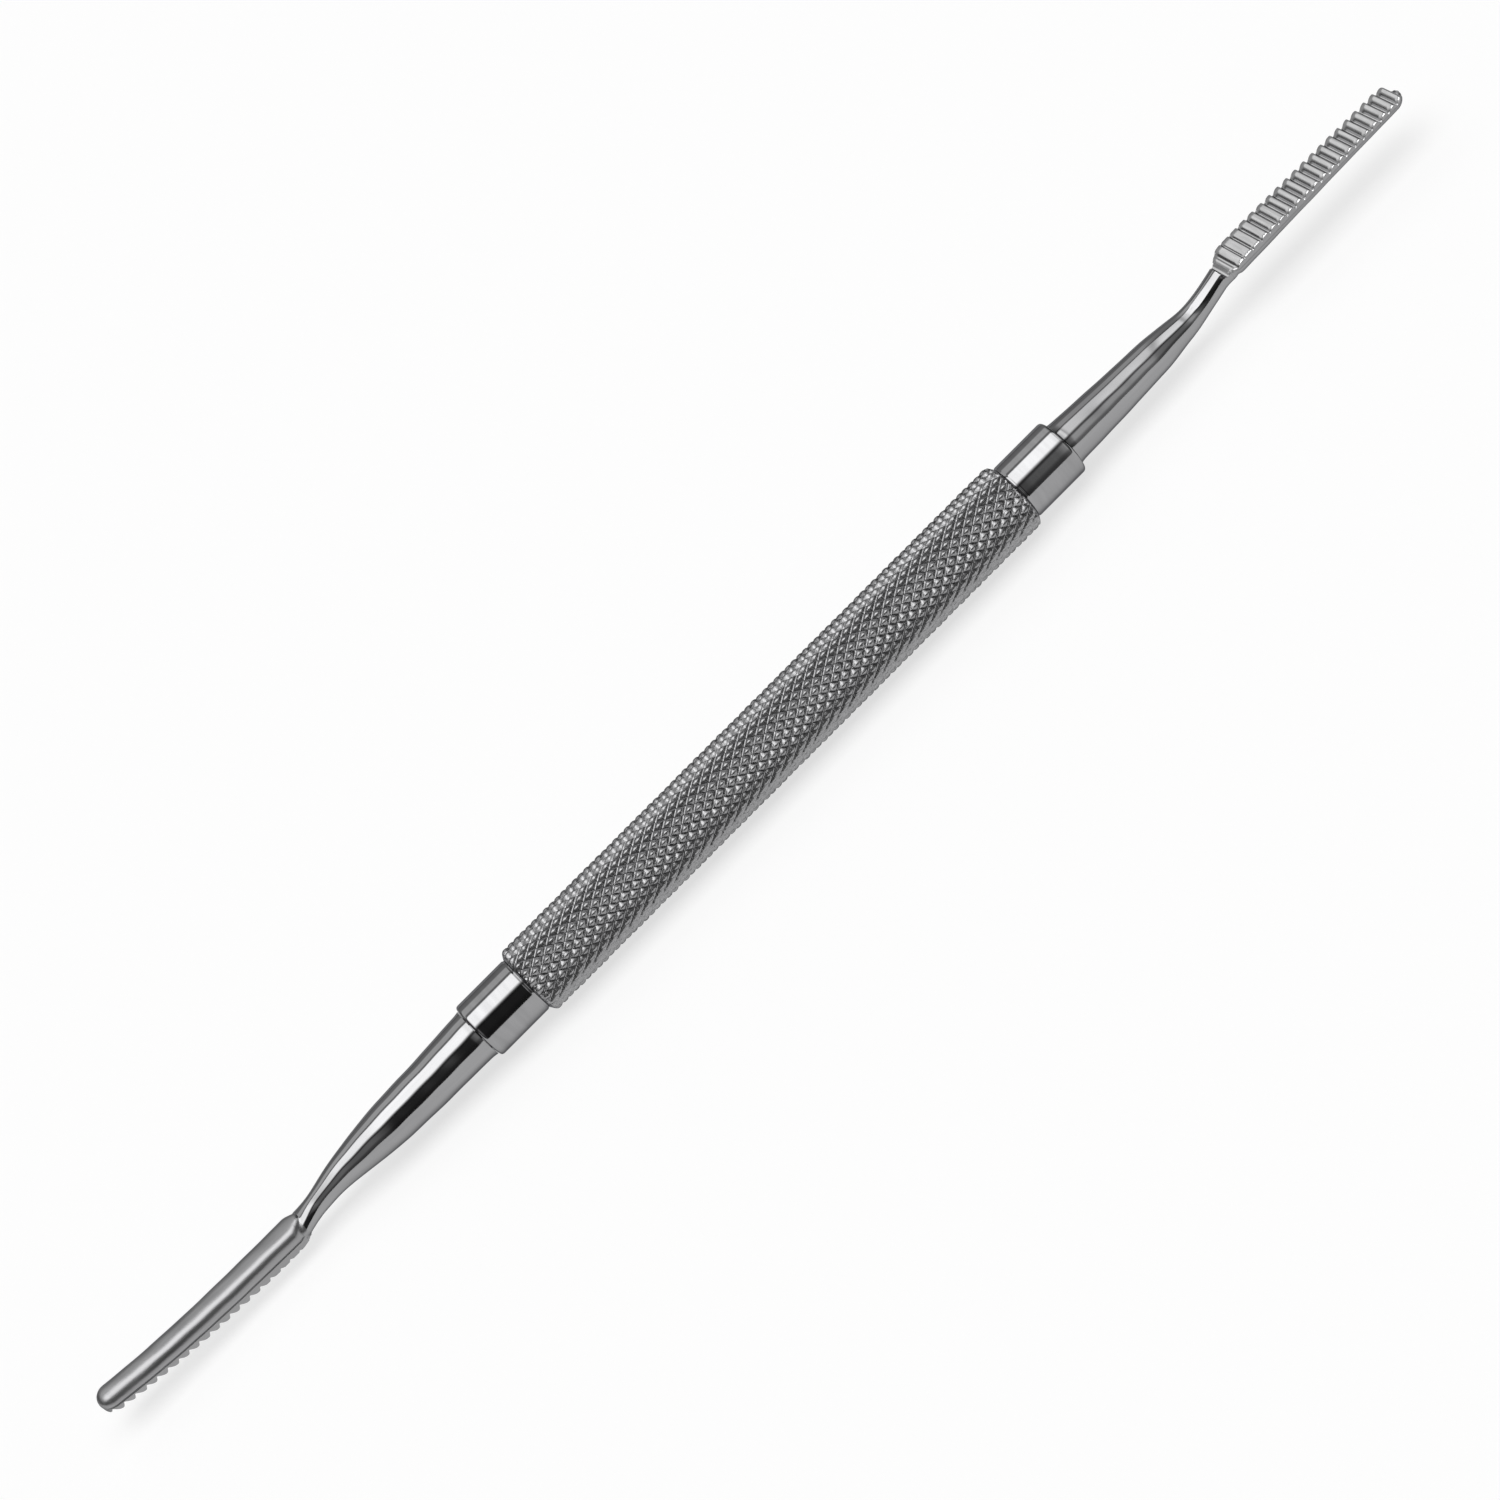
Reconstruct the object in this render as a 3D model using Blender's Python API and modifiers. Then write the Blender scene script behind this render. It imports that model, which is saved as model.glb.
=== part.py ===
"""A double-ended bone file, lying on its handle.

The handle is a turned steel bar with a diamond knurl between two smooth collars. Each collar has a
blind socket, and the tang of a file end is seated in it. A file end is a tapered shank, a bent neck
and a blade that has a row of straight teeth on one face and a crowned back. The two ends are the
same way up along the handle but turned half a turn about the Y axis, so their teeth face apart.

X runs along the handle, and the teeth of the upper end face +Z. The origin is on the handle's axis,
at the middle of the whole length.
"""

import math

import bmesh
import bpy
from mathutils import Matrix, Vector

MM = 0.001

# Handle
KNURL_LENGTH = 67.6 * MM
KNURL_DIAMETER = 7.9 * MM
DIAMOND_LENGTH = 1.6 * MM
DIAMOND_WIDTH = 1.12 * MM
DIAMOND_DEPTH = 0.28 * MM
KNURL_BEVEL = 0.45 * MM
COLLAR_LENGTH = 6.6 * MM
COLLAR_DIAMETER = 6.5 * MM
COLLAR_BEVEL = 0.45 * MM
COLLAR_CORNER_SHARE = 0.3

# Socket and tang
TANG_DIAMETER = 4.0 * MM
TANG_LENGTH = 12.0 * MM
TANG_BEVEL = 0.3 * MM
FIT_CLEARANCE = 0.06 * MM
SEAM = 0.1 * MM
SOCKET_SPARE = 0.4 * MM

# Shank and neck, alike on both ends
SHANK_SIDES = 28
ROOT_SWELL = 0.1 * MM
ROOT_SWELL_LENGTH = 0.9 * MM
STATION_STEP = 1.15 * MM
OFFSET_LENGTH = 8.0 * MM

# Blade, alike on both ends
BLADE_WIDTH = 4.15 * MM
BLADE_TIP_WIDTH = 3.5 * MM
BLADE_TIP_SIDE = 0.7 * MM
BLADE_CROWN = 1.05 * MM
BLADE_TIP_CROWN = 0.8 * MM
BLADE_DROP_CURVE = 0.55
SHOULDER_ROUNDING = 1.5 * MM
TIP_ROUNDING = 2.2 * MM
END_STATIONS = 6
END_STUB_SHARE = 0.02
MIDDLE_STATIONS = 3
BACK_FACETS = 10
FLARE_LENGTH = 3.8 * MM
STEM_NOSE = 1.6 * MM

# Teeth, alike on both ends
TOOTH_DEPTH = 0.4 * MM
NECK_FLAT_STEP = 0.5 * MM
NECK_FLAT_LENGTH = 6.0 * MM
NECK_FLAT_SLOPE = 0.085
RAMP_LENGTH = 0.85 * MM
FIRST_TEETH_SHARE = 0.45
FIRST_TEETH = 6

# One tooth as (share of the pitch, share of the depth): its crest, and the gap's floor, which is
# counted from the foot of the next tooth's handle side
CREST_MARKS = ((0.0, 0.06), (0.12, 0.0), (0.26, 0.1))
GAP_MARKS = ((-0.2, 0.92), (-0.08, 1.0), (0.06, 0.9))

# Upper end: the slimmer shank, its blade in line with the handle
UPPER_LENGTH = 48.3 * MM
UPPER_BLADE_LENGTH = 24.6 * MM
UPPER_BLADE_SIDE = 1.25 * MM
UPPER_ROOT_DIAMETER = 4.96 * MM
UPPER_NECK_DIAMETER = 2.46 * MM
UPPER_TAPER = 0.085
UPPER_WAIST_START = 12.2 * MM
UPPER_NECK_START = 21.0 * MM
UPPER_OFFSET = -0.12 * MM
UPPER_BEND_START = 16.8 * MM
UPPER_BEND_LENGTH = 10.5 * MM
UPPER_BEND_RISE = 1.95 * MM
UPPER_FACE_HEIGHT = 2.48 * MM
UPPER_FACE_DROP = 0.1 * MM
UPPER_TOOTH_PITCH = 1.19 * MM
UPPER_TOOTH_LEAN = 0.5

# Lower end: the stouter shank, its blade falling back towards the handle's axis
LOWER_LENGTH = 50.9 * MM
LOWER_BLADE_LENGTH = 25.7 * MM
LOWER_BLADE_SIDE = 1.05 * MM
LOWER_ROOT_DIAMETER = 5.52 * MM
LOWER_NECK_DIAMETER = 2.2 * MM
LOWER_TAPER = 0.062
LOWER_WAIST_START = 11.3 * MM
LOWER_NECK_START = 25.0 * MM
LOWER_OFFSET = 0.2 * MM
LOWER_BEND_START = 17.8 * MM
LOWER_BEND_LENGTH = 11.0 * MM
LOWER_BEND_RISE = 1.6 * MM
LOWER_FACE_HEIGHT = 2.15 * MM
LOWER_FACE_DROP = 2.2 * MM
LOWER_TOOTH_PITCH = 1.27 * MM
LOWER_TOOTH_LEAN = 0.3

# Sizes that follow from those above
COLLAR_FACE = KNURL_LENGTH / 2 + COLLAR_LENGTH
HANDLE_MIDDLE = (LOWER_LENGTH - UPPER_LENGTH) / 2
SOCKET_DIAMETER = TANG_DIAMETER + 2 * FIT_CLEARANCE
SOCKET_DEPTH = TANG_LENGTH + SOCKET_SPARE
DIAMOND_COLUMNS = 2 * round(math.pi * KNURL_DIAMETER / DIAMOND_WIDTH)
DIAMOND_ROWS = 2 * round((KNURL_LENGTH - 2 * KNURL_BEVEL) / DIAMOND_LENGTH)
ROW_STEP = (KNURL_LENGTH - 2 * KNURL_BEVEL) / DIAMOND_ROWS

# Edges that bend more than this stay sharp
HANDLE_SHARP_ANGLE = math.radians(12)
END_SHARP_ANGLE = math.radians(30)


def clear_scene():
    for old in list(bpy.data.objects):
        bpy.data.objects.remove(old, do_unlink=True)


def new_collection(name):
    made = bpy.data.collections.new(name)
    bpy.context.scene.collection.children.link(made)
    return made


def steel(name, colour, roughness):
    made = bpy.data.materials.new(name)
    made.use_nodes = True
    shader = made.node_tree.nodes["Principled BSDF"]
    shader.inputs["Base Color"].default_value = (*colour, 1.0)
    shader.inputs["Metallic"].default_value = 1.0
    shader.inputs["Roughness"].default_value = roughness
    return made


def eased(share):
    """0 to 1 with a soft start and a soft end."""
    share = min(max(share, 0.0), 1.0)
    return share * share * (3 - 2 * share)


def rounded_end(share):
    """The height of a quarter ellipse, from 0 at its end to 1 where it meets the full section."""
    share = min(max(share, 0.0), 1.0)
    return math.sqrt(1 - (1 - share) ** 2)


def new_object(name, mesh, collection, material=None):
    made = bpy.data.objects.new(name, mesh)
    collection.objects.link(made)
    if material:
        mesh.materials.append(material)
    return made


def mark_smooth(mesh, sharp_angle):
    mesh.shade_smooth()
    mesh.set_sharp_from_angle(angle=sharp_angle)


# Handle


def handle_profile():
    """The turned outline as (x, radius), from the lower socket's floor over the outside to the upper."""
    socket = SOCKET_DIAMETER / 2
    collar = COLLAR_DIAMETER / 2
    knurl = KNURL_DIAMETER / 2
    floor = COLLAR_FACE - SOCKET_DEPTH
    corner = COLLAR_CORNER_SHARE * COLLAR_BEVEL
    end = [
        (floor, 0.0),
        (floor, socket),
        (COLLAR_FACE, socket),
        (COLLAR_FACE, collar - COLLAR_BEVEL),
        (COLLAR_FACE - corner, collar - corner),
        (COLLAR_FACE - COLLAR_BEVEL, collar),
        (KNURL_LENGTH / 2, collar),
    ]
    first_row = -DIAMOND_ROWS * ROW_STEP / 2
    rows = [(first_row + row * ROW_STEP, knurl) for row in range(DIAMOND_ROWS + 1)]
    return [(-x, radius) for x, radius in end] + rows + end[::-1]


def turn(name, profile, collection, material):
    """Turns the outline about the X axis, one facet for each half diamond."""
    outline = bpy.data.meshes.new(name + "_outline")
    points = [(x, 0.0, radius) for x, radius in profile]
    outline.from_pydata(points, [(i, i + 1) for i in range(len(points) - 1)], [])
    blank = new_object(name + "_blank", outline, collection)
    screw = blank.modifiers.new("turn", "SCREW")
    screw.axis = "X"
    screw.steps = DIAMOND_COLUMNS
    screw.render_steps = DIAMOND_COLUMNS
    screw.use_merge_vertices = True
    screw.merge_threshold = 0.00001
    bpy.context.view_layer.update()
    evaluated = blank.evaluated_get(bpy.context.evaluated_depsgraph_get())
    mesh = bpy.data.meshes.new_from_object(evaluated)
    mesh.name = name
    bpy.data.objects.remove(blank)
    return new_object(name, mesh, collection, material)


def press_diamonds(mesh):
    """Sinks every second point of the knurled rows to the groove, and splits each face along it."""
    form = bmesh.new()
    form.from_mesh(mesh)
    crest = KNURL_DIAMETER / 2
    groove = crest - DIAMOND_DEPTH
    facet = 2 * math.pi / DIAMOND_COLUMNS
    in_groove = set()
    in_knurl = set()
    for vert in form.verts:
        radius = math.hypot(vert.co.y, vert.co.z)
        if radius < crest - DIAMOND_DEPTH / 2:
            continue
        row = round(vert.co.x / ROW_STEP + DIAMOND_ROWS / 2)
        column = round(math.atan2(vert.co.y, vert.co.z) / facet)
        in_knurl.add(vert)
        if (row + column) % 2:
            vert.co.y *= groove / radius
            vert.co.z *= groove / radius
            in_groove.add(vert)
    for face in list(form.faces):
        if all(vert in in_knurl for vert in face.verts):
            low = [vert for vert in face.verts if vert in in_groove]
            bmesh.utils.face_split(face, low[0], low[1])
    bmesh.ops.recalc_face_normals(form, faces=form.faces)
    form.to_mesh(mesh)
    form.free()


def make_handle(collection, material):
    """The bar with its knurl, turned half a facet so that it lies on two rows of crests."""
    handle = turn("knurled_handle", handle_profile(), collection, material)
    press_diamonds(handle.data)
    handle.data.transform(Matrix.Rotation(math.pi / DIAMOND_COLUMNS, 4, "X"))
    mark_smooth(handle.data, HANDLE_SHARP_ANGLE)
    handle.location = (HANDLE_MIDDLE, 0.0, 0.0)
    return handle


# File ends, each modelled with its collar face at x = 0, its tip at +X and its teeth facing +Z


def loft(name, rings, collection, material=None):
    """A closed solid through rings of as many points each."""
    form = bmesh.new()
    layers = [[form.verts.new(point) for point in ring] for ring in rings]
    for near, far in zip(layers, layers[1:]):
        for i in range(len(near)):
            form.faces.new((near[i - 1], near[i], far[i], far[i - 1]))
    form.faces.new(layers[0])
    form.faces.new(layers[-1])
    bmesh.ops.recalc_face_normals(form, faces=form.faces)
    mesh = bpy.data.meshes.new(name)
    form.to_mesh(mesh)
    form.free()
    return new_object(name, mesh, collection, material)


def oval(x, half_width, half_height, centre):
    """A ring round the stem's centre line."""
    turns = [2 * math.pi * i / SHANK_SIDES for i in range(SHANK_SIDES)]
    return [(x, half_width * math.cos(a), centre + half_height * math.sin(a)) for a in turns]


class FileEnd:
    """The sizes of one end, and the forms worked out from them."""

    def __init__(self, length, blade, diameters, taper, waist, offset, bend, face, teeth):
        self.length = length
        self.blade_length, self.blade_side = blade
        self.blade_start = length - self.blade_length
        self.root, self.neck = diameters
        self.taper = taper
        self.waist_start, self.neck_start = waist
        self.offset = offset
        self.bend_start, self.bend_length, self.bend_rise = bend
        self.face_height, self.face_drop = face
        self.tooth_pitch, self.tooth_lean = teeth

    def radius(self, x):
        """Half the stem's diameter: a slight taper, then the draw down to the neck."""
        tapered = self.root - self.taper * x
        drawn = eased((x - self.waist_start) / (self.neck_start - self.waist_start))
        swell = ROOT_SWELL * max(0.0, 1 - x / ROOT_SWELL_LENGTH) ** 2
        return (tapered + (self.neck - tapered) * drawn) / 2 + swell

    def centre(self, x):
        """Height of the stem's centre line over the handle's axis."""
        bent = self.bend_rise * eased((x - self.bend_start) / self.bend_length)
        return self.offset * eased(x / OFFSET_LENGTH) + bent

    def stem_rings(self):
        tang = TANG_DIAMETER / 2
        rings = [
            oval(-TANG_LENGTH, tang - TANG_BEVEL, tang - TANG_BEVEL, 0.0),
            oval(-TANG_LENGTH + TANG_BEVEL, tang, tang, 0.0),
            oval(SEAM, tang, tang, 0.0),
        ]
        nose_end = self.blade_start + STEM_NOSE
        flare_start = nose_end - FLARE_LENGTH
        steps = round((nose_end - SEAM) / STATION_STEP)
        for step in range(steps):
            x = SEAM + (nose_end - SEAM) * step / steps
            nose = rounded_end((nose_end - x) / STEM_NOSE)
            flare = eased((x - flare_start) / FLARE_LENGTH)
            radius = self.radius(x)
            half_width = radius + (BLADE_WIDTH / 2 - radius) * flare
            rings.append(oval(x, half_width * nose, radius * nose, self.centre(x)))
        return rings

    def face(self, x):
        """Height of the tooth crests over the handle's axis."""
        along = (x - self.blade_start) / self.blade_length
        curved = BLADE_DROP_CURVE * max(0.0, along) ** 3
        return self.face_height - self.face_drop * ((1 - BLADE_DROP_CURVE) * along + curved)

    def blade_ring(self, x):
        """The section at x: flat top and sides, and an arc for the crowned back."""
        along = (x - self.blade_start) / self.blade_length
        rounding = rounded_end((x - self.blade_start) / SHOULDER_ROUNDING)
        rounding *= rounded_end((self.length - x) / TIP_ROUNDING)
        half = (BLADE_WIDTH + (BLADE_TIP_WIDTH - BLADE_WIDTH) * along) / 2 * rounding
        side = self.blade_side + (BLADE_TIP_SIDE - self.blade_side) * along
        crown = (BLADE_CROWN + (BLADE_TIP_CROWN - BLADE_CROWN) * along) * rounding
        top = self.face(x) + TOOTH_DEPTH
        edge = self.face(x) - side
        bow = 2 * math.atan(crown / half)
        bow_radius = half / math.sin(bow)
        arc = [bow * (2 * i / BACK_FACETS - 1) for i in range(BACK_FACETS + 1)]
        back = [
            (x, bow_radius * math.sin(a), edge - crown + bow_radius * (1 - math.cos(a)))
            for a in arc
        ]
        return [(x, -half, top), *back, (x, half, top)]

    def blade_rings(self):
        squares = [(i / END_STATIONS) ** 2 for i in range(END_STATIONS + 1)]
        shares = [END_STUB_SHARE + (1 - END_STUB_SHARE) * square for square in squares]
        shoulder = [self.blade_start + SHOULDER_ROUNDING * share for share in shares]
        tip = [self.length - TIP_ROUNDING * share for share in reversed(shares)]
        step = (tip[0] - shoulder[-1]) / (MIDDLE_STATIONS + 1)
        middle = [shoulder[-1] + step * (i + 1) for i in range(MIDDLE_STATIONS)]
        return [self.blade_ring(x) for x in shoulder + middle + tip]

    def tooth_outline(self):
        """The edge of the tooth side from the neck's flat to past the tip, as (x, z)."""
        ramp_foot = self.blade_start
        crest_x = ramp_foot + RAMP_LENGTH
        flat_z = self.face_height - NECK_FLAT_STEP
        points = [
            (ramp_foot - NECK_FLAT_LENGTH, flat_z - NECK_FLAT_SLOPE * NECK_FLAT_LENGTH),
            (ramp_foot, flat_z),
        ]
        tooth = 0
        while crest_x < self.length + self.tooth_pitch:
            share = FIRST_TEETH_SHARE + (1 - FIRST_TEETH_SHARE) * min(1.0, tooth / FIRST_TEETH)
            points += self.one_tooth(crest_x, TOOTH_DEPTH * share)
            crest_x += self.tooth_pitch
            tooth += 1
        return points

    def one_tooth(self, crest_x, depth):
        """A rounded crest, then the gap beyond it. A lean under a half steepens the handle side."""
        foot = 1 - self.tooth_lean
        marks = [*CREST_MARKS, *((foot + share, sunk) for share, sunk in GAP_MARKS)]
        points = [(crest_x + share * self.tooth_pitch, depth * sunk) for share, sunk in marks]
        return [(x, self.face(x) - down) for x, down in points]


def tooth_cutter(name, outline, collection):
    """Everything over the tooth outline, as a flat outline thickened across the blade."""
    roof = max(z for x, z in outline) + BLADE_WIDTH
    corners = [(outline[0][0], roof), *outline, (outline[-1][0], roof)]
    curve = bpy.data.curves.new(name, "CURVE")
    curve.dimensions = "2D"
    curve.fill_mode = "BOTH"
    curve.extrude = BLADE_WIDTH
    line = curve.splines.new("POLY")
    line.points.add(len(corners) - 1)
    for point, (x, z) in zip(line.points, corners):
        point.co = (x, z, 0.0, 1.0)
    line.use_cyclic_u = True
    drawn = bpy.data.objects.new(name + "_outline", curve)
    collection.objects.link(drawn)
    bpy.context.view_layer.update()
    evaluated = drawn.evaluated_get(bpy.context.evaluated_depsgraph_get())
    mesh = bpy.data.meshes.new_from_object(evaluated)
    mesh.name = name
    bpy.data.objects.remove(drawn)
    form = bmesh.new()
    form.from_mesh(mesh)
    bmesh.ops.remove_doubles(form, verts=form.verts, dist=0.000001)
    upright = Matrix.Rotation(math.pi / 2, 3, "X")
    bmesh.ops.rotate(form, verts=form.verts, matrix=upright, cent=Vector())
    bmesh.ops.recalc_face_normals(form, faces=form.faces)
    form.to_mesh(mesh)
    form.free()
    return new_object(name, mesh, collection)


def add_boolean(target, other, operation):
    change = target.modifiers.new(other.name, "BOOLEAN")
    change.operation = operation
    change.object = other
    change.solver = "EXACT"
    other.hide_render = True
    other.display_type = "WIRE"


def make_file_end(name, end, collection, helpers, material):
    stem = loft(name, end.stem_rings(), collection, material)
    blade = loft(name + "_blade_blank", end.blade_rings(), helpers)
    teeth = tooth_cutter(name + "_tooth_cutter", end.tooth_outline(), helpers)
    add_boolean(stem, blade, "UNION")
    add_boolean(stem, teeth, "DIFFERENCE")
    blade.parent = stem
    teeth.parent = stem
    mark_smooth(stem.data, END_SHARP_ANGLE)
    return stem


def build():
    clear_scene()
    parts = new_collection("bone_file")
    helpers = new_collection("cutters")
    knurled_steel = steel("knurled_steel", (0.62, 0.62, 0.63), 0.32)
    polished_steel = steel("polished_steel", (0.72, 0.72, 0.73), 0.12)

    whole = bpy.data.objects.new("bone_file", None)
    parts.objects.link(whole)
    handle = make_handle(parts, knurled_steel)
    handle.parent = whole

    upper = FileEnd(
        UPPER_LENGTH,
        (UPPER_BLADE_LENGTH, UPPER_BLADE_SIDE),
        (UPPER_ROOT_DIAMETER, UPPER_NECK_DIAMETER),
        UPPER_TAPER,
        (UPPER_WAIST_START, UPPER_NECK_START),
        UPPER_OFFSET,
        (UPPER_BEND_START, UPPER_BEND_LENGTH, UPPER_BEND_RISE),
        (UPPER_FACE_HEIGHT, UPPER_FACE_DROP),
        (UPPER_TOOTH_PITCH, UPPER_TOOTH_LEAN),
    )
    upper_end = make_file_end("upper_file_end", upper, parts, helpers, polished_steel)
    upper_end.parent = whole
    upper_end.location = (HANDLE_MIDDLE + COLLAR_FACE, 0.0, 0.0)

    lower = FileEnd(
        LOWER_LENGTH,
        (LOWER_BLADE_LENGTH, LOWER_BLADE_SIDE),
        (LOWER_ROOT_DIAMETER, LOWER_NECK_DIAMETER),
        LOWER_TAPER,
        (LOWER_WAIST_START, LOWER_NECK_START),
        LOWER_OFFSET,
        (LOWER_BEND_START, LOWER_BEND_LENGTH, LOWER_BEND_RISE),
        (LOWER_FACE_HEIGHT, LOWER_FACE_DROP),
        (LOWER_TOOTH_PITCH, LOWER_TOOTH_LEAN),
    )
    lower_end = make_file_end("lower_file_end", lower, parts, helpers, polished_steel)
    lower_end.parent = whole
    lower_end.location = (HANDLE_MIDDLE - COLLAR_FACE, 0.0, 0.0)
    lower_end.rotation_euler = (0.0, math.pi, 0.0)


build()
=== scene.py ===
import math

import bpy
import numpy as np
from mathutils import Matrix, Vector


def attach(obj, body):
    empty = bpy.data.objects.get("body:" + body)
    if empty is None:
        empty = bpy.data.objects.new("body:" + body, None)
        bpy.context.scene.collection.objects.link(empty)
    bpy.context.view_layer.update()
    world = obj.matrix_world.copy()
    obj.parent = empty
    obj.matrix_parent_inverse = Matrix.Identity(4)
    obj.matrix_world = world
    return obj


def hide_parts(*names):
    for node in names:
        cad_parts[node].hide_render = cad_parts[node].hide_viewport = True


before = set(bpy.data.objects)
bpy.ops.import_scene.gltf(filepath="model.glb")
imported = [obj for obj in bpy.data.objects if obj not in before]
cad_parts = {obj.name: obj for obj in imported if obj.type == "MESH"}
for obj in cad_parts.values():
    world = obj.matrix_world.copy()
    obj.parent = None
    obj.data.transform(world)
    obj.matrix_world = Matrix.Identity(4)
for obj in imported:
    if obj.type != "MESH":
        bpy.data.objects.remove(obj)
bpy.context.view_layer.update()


# Handle: one bar of stainless steel, turned, with a diamond knurl rolled into the grip and a polished
# collar left at each end. A fine relief is turned beside the grip, the collar's rim is rounded over,
# and its mouth is bored for the file's tang. Sizes are in millimetres.
MM = 0.001
HANDLE_MIDDLE = 1.3
GRIP_LENGTH = 67.6
GRIP_RADIUS = 3.945
GRIP_BEVEL = 0.45
BEVEL_STEPS = 3
COLLAR_LENGTH = 6.6
COLLAR_RADIUS = 3.25
COLLAR_MARGIN = 1.5
COLLAR_CHAMFER = 0.45
CHAMFER_POWER = 1.25
CHAMFER_STEPS = 8
RELIEF = ((0.02, 0.09), (0.13, 0.08))
LIP_START = 0.22
LIP_LENGTH = 0.16
LIP_DEPTH = 0.02
LIP_STEPS = 3
MOUTH_RADIUS = 2.06
MOUTH_DEPTH = 12.4

GROOVES = 44
DIAMOND_ROWS = 84
CELLS = 4
GRIP_POINTS = GROOVES * CELLS
KNURL_SHIFT = 0.29
GROOVE_DEPTH = 0.42
CROSSING_DEPTH = 0.37
FLANK_ROUNDING = 1.25
CREST_WEAR = 0.05
CREST_SCATTER = 0.05
SCATTER_SEED = 7
SCATTER_ROWS = 400
SHORTEST_STEP = 0.01
SHARP_KNURL_EDGE = math.radians(42)
KNURL_MARGIN = 0.5
TURNED, KNURLED = 0, 1

collar_face = GRIP_LENGTH / 2 + COLLAR_LENGTH
row_step = (GRIP_LENGTH - 2 * GRIP_BEVEL) / DIAMOND_ROWS


def handle_stations():
    """Places along the bar as (x, turned radius, whether the knurl is rolled there)."""
    half = GRIP_LENGTH / 2
    flat = half - GRIP_BEVEL
    steps = DIAMOND_ROWS * CELLS // 2
    lattice = [k * row_step / CELLS + KNURL_SHIFT for k in range(-steps - CELLS, steps + CELLS)]
    lattice = [x for x in lattice if abs(x) < flat - SHORTEST_STEP]
    grip = [(x, GRIP_RADIUS, True) for x in [-flat] + lattice + [flat]]
    end = []
    for k in range(1, BEVEL_STEPS + 1):
        drop = (GRIP_RADIUS - COLLAR_RADIUS) * k / BEVEL_STEPS
        end.append((flat + GRIP_BEVEL * k / BEVEL_STEPS, GRIP_RADIUS - drop, True))
    end += [(half + way, COLLAR_RADIUS - depth, False) for way, depth in RELIEF]
    for k in range(LIP_STEPS + 1):
        x = half + LIP_START + LIP_LENGTH * k / LIP_STEPS
        end.append((x, COLLAR_RADIUS - LIP_DEPTH * (1 - k / LIP_STEPS) ** 2, False))
    end += [(x, COLLAR_RADIUS, False) for x in (half + COLLAR_MARGIN, collar_face - COLLAR_MARGIN)]
    for k in range(CHAMFER_STEPS + 1):
        turn = math.pi / 2 * k / CHAMFER_STEPS
        x = collar_face - COLLAR_CHAMFER * (1 - math.sin(turn)) ** CHAMFER_POWER
        end.append((x, COLLAR_RADIUS - COLLAR_CHAMFER * (1 - math.cos(turn)) ** CHAMFER_POWER, False))
    end += [(x, MOUTH_RADIUS, False) for x in (collar_face, collar_face - MOUTH_DEPTH)]
    return [(-x, radius, rolled) for x, radius, rolled in end[::-1]] + grip + end


def knurl_height(xs):
    """Height over the grip's radius, for each place along it and each point round it: two families of
    grooves that cross, one a little deeper, with worn crests of slightly uneven height."""
    along = ((xs - KNURL_SHIFT) / row_step)[:, None] * np.ones(GRIP_POINTS)
    around = (np.arange(GRIP_POINTS) / CELLS)[None, :] * np.ones((len(xs), 1))
    first = np.abs((along + around + DIAMOND_ROWS / 2) % 2 - 1)
    second = np.abs((along - around + DIAMOND_ROWS / 2) % 2 - 1)
    crossing = CROSSING_DEPTH * (1 - first) ** FLANK_ROUNDING
    groove = GROOVE_DEPTH * (1 - second) ** FLANK_ROUNDING
    height = CREST_WEAR - np.maximum(np.maximum(crossing, groove), CREST_WEAR)
    scatter = np.random.RandomState(SCATTER_SEED).uniform(0, CREST_SCATTER, (SCATTER_ROWS, GROOVES))
    row = (np.round(along) + SCATTER_ROWS // 2).astype(int)
    column = np.round(around).astype(int) % GROOVES
    return height - scatter[row, column] * np.clip(1 + height / GROOVE_DEPTH, 0, 1)


def handle_mesh():
    xs, turned, rolled = (np.array(column) for column in zip(*handle_stations()))
    knurl = np.minimum(GRIP_RADIUS + knurl_height(xs), turned[:, None])
    radius = np.where(rolled[:, None], knurl, turned[:, None])
    angle = 2 * np.pi * np.arange(GRIP_POINTS) / GRIP_POINTS - np.pi / GROOVES
    ring_x = np.repeat(xs, GRIP_POINTS) + HANDLE_MIDDLE
    y, z = (radius * np.sin(angle)).ravel(), (radius * np.cos(angle)).ravel()
    points = np.column_stack([ring_x, y, z])
    faces, grades = [], []
    for i in range(len(xs) - 1):
        step = round((xs[i] - KNURL_SHIFT) / row_step * CELLS)
        for j in range(GRIP_POINTS):
            a, b = i * GRIP_POINTS + j, i * GRIP_POINTS + (j + 1) % GRIP_POINTS
            c, d = b + GRIP_POINTS, a + GRIP_POINTS
            if not (rolled[i] and rolled[i + 1]):
                faces.append((a, b, c, d))
                grades.append(TURNED)
                continue
            along_first_groove = (step + j + 1) % (2 * CELLS) == CELLS
            faces += [(a, b, d), (b, c, d)] if along_first_groove else [(a, b, c), (a, c, d)]
            grades += [KNURLED, KNURLED]
    last = (len(xs) - 1) * GRIP_POINTS
    faces += [tuple(range(GRIP_POINTS))[::-1], tuple(range(last, last + GRIP_POINTS))]
    grades += [TURNED, TURNED]
    mesh = bpy.data.meshes.new("handle")
    mesh.from_pydata((points * MM).tolist(), [], faces)
    mesh.polygons.foreach_set("material_index", np.array(grades, np.int32))
    return mesh


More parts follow.
